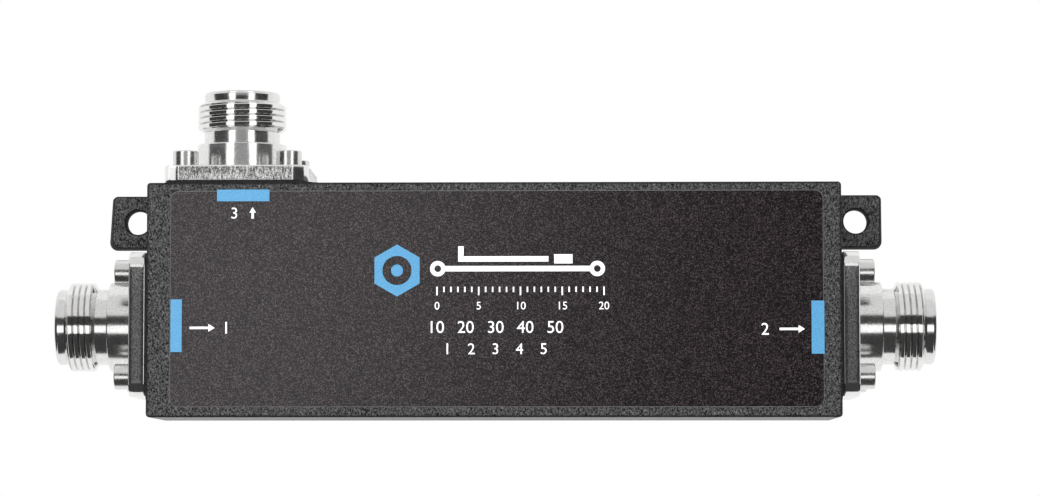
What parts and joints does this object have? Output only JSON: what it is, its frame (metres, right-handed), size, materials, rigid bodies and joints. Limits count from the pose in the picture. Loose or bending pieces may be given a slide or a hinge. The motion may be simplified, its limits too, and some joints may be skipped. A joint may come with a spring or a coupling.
{
  "type": "coaxial rf tapper",
  "caption": "Black die-cast coaxial tapper box with mounting ears, a threaded square-flange jack at each end, and a matching tap jack on its upper long side.",
  "frame": {"origin": "centre of the box's rear mounting plane, on the outer face of the rear cover", "axes": "+X from the input jack to the output jack, +Y towards the tap jack, +Z out of the labelled face; the box lies on its back"},
  "size_m": [0.1556, 0.0582, 0.0261],
  "materials": {
    "powder_coat": "matte",
    "bare_aluminium": "satin",
    "black_rubber": "matte",
    "steel": "satin",
    "label_film": "matte",
    "bright_plating": "gloss",
    "white_ptfe": "satin",
    "gold_plating": "gloss",
    "silver_plating": "satin",
    "resistor_lacquer": "gloss",
    "bare_brass": "satin"
  },
  "bodies": {
    "root": {"housing": "powder_coat", "rear_cover": "bare_aluminium", "rear_cover_seal": "black_rubber", "rear_cover_screws": "steel", "label": "label_film", "input_connector": "bright_plating", "input_insulator": "white_ptfe", "input_contact": "gold_plating", "input_o_ring": "black_rubber", "output_connector": "bright_plating", "output_insulator": "white_ptfe", "output_contact": "gold_plating", "output_o_ring": "black_rubber", "tap_connector": "bright_plating", "tap_insulator": "white_ptfe", "tap_contact": "gold_plating", "tap_o_ring": "black_rubber", "flange_screws": "steel", "main_line": "silver_plating", "line_post_a": "white_ptfe", "line_post_b": "white_ptfe", "tap_resistor": "resistor_lacquer", "tap_sleeve": "bare_brass"}
  },
  "joints": []
}
